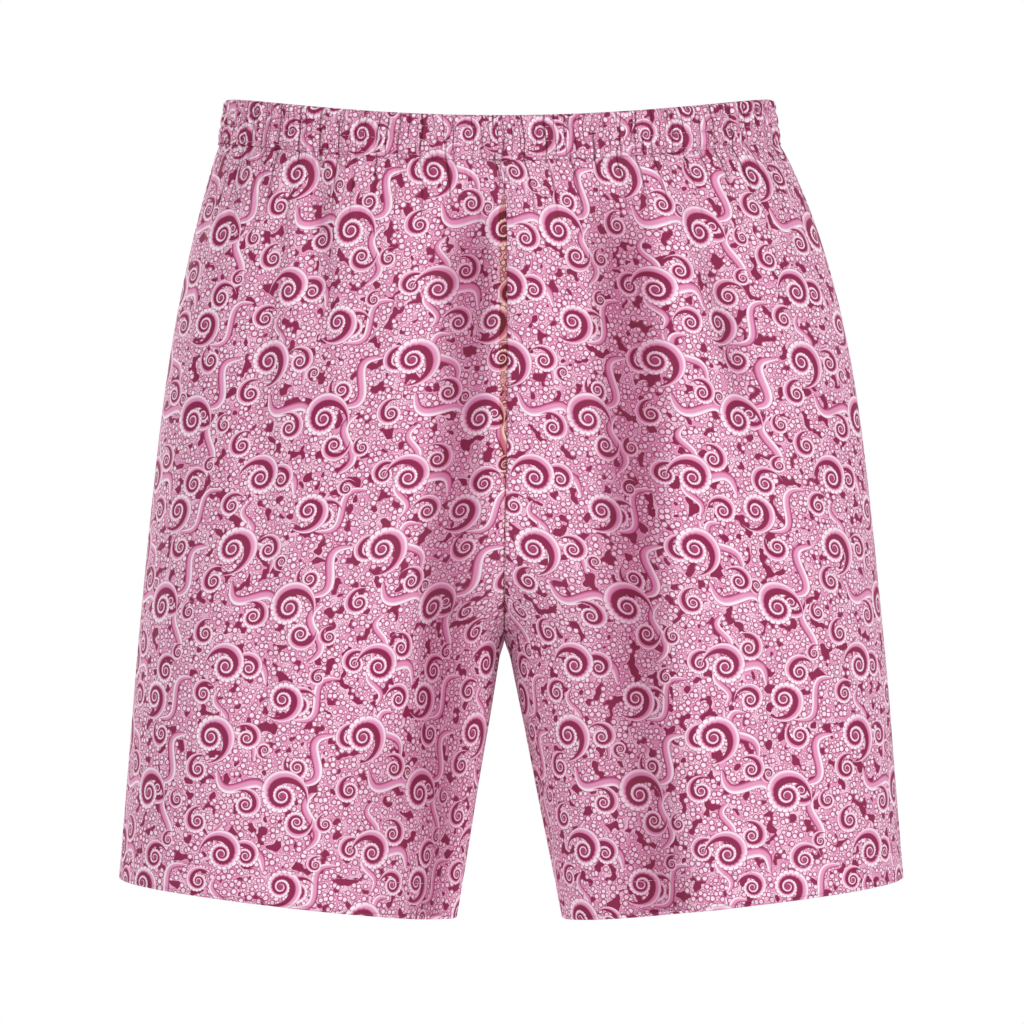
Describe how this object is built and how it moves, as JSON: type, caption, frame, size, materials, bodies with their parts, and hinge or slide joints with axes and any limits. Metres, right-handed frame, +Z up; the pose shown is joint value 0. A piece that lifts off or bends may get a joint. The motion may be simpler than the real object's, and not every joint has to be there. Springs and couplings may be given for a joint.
{
  "type": "pull-on shorts",
  "caption": "Above-knee pull-on shorts with a gathered elastic waistband, straight legs and turned hems, standing open as worn.",
  "frame": {"origin": "centre of the waist opening, at mid-height of the waistband", "axes": "+Z up towards the wearer's waist, the front of the shorts faces -Y, +X is the wearer's left"},
  "size_m": [0.5182, 0.2327, 0.54],
  "materials": {
    "printed_cloth": "satin",
    "waistband_cloth": "satin",
    "hem_cloth": "matte",
    "seam_allowance": "matte",
    "elastic": "matte",
    "thread": "satin"
  },
  "bodies": {
    "seat": {"waistband_casing": "waistband_cloth", "waist_elastic": "elastic", "waist_stitching_upper": "thread", "waist_stitching_middle": "thread", "waist_stitching_lower": "thread", "front_left_panel_hip": "printed_cloth", "front_left_panel_bend": "printed_cloth", "front_right_panel_hip": "printed_cloth", "front_right_panel_bend": "printed_cloth", "back_left_panel_hip": "printed_cloth", "back_left_panel_bend": "printed_cloth", "back_right_panel_hip": "printed_cloth", "back_right_panel_bend": "printed_cloth", "front_rise_seam": "seam_allowance", "back_rise_seam": "seam_allowance", "left_side_seam_hip": "seam_allowance", "left_side_seam_bend": "seam_allowance", "right_side_seam_hip": "seam_allowance", "right_side_seam_bend": "seam_allowance", "left_inseam_bend": "seam_allowance", "right_inseam_bend": "seam_allowance"},
    "left_leg": {"front_left_panel_leg": "printed_cloth", "back_left_panel_leg": "printed_cloth", "left_side_seam_leg": "seam_allowance", "left_inseam_leg": "seam_allowance", "left_hem_turning": "hem_cloth", "left_hem_stitching": "thread"},
    "right_leg": {"front_right_panel_leg": "printed_cloth", "back_right_panel_leg": "printed_cloth", "right_side_seam_leg": "seam_allowance", "right_inseam_leg": "seam_allowance", "right_hem_turning": "hem_cloth", "right_hem_stitching": "thread"}
  },
  "joints": [
    {"name": "left_leg_swing", "type": "hinge", "parent": "seat", "child": "left_leg", "pos_m": [0.1348, 0.0037, -0.367], "axis": [1, 0, 0], "range_deg": [-25, 20], "deforming": ["front_left_panel_bend", "back_left_panel_bend", "left_side_seam_bend", "left_inseam_bend"]},
    {"name": "right_leg_swing", "type": "hinge", "parent": "seat", "child": "right_leg", "pos_m": [-0.1348, 0.0037, -0.367], "axis": [1, 0, 0], "range_deg": [-25, 20], "deforming": ["front_right_panel_bend", "back_right_panel_bend", "right_side_seam_bend", "right_inseam_bend"]}
  ]
}
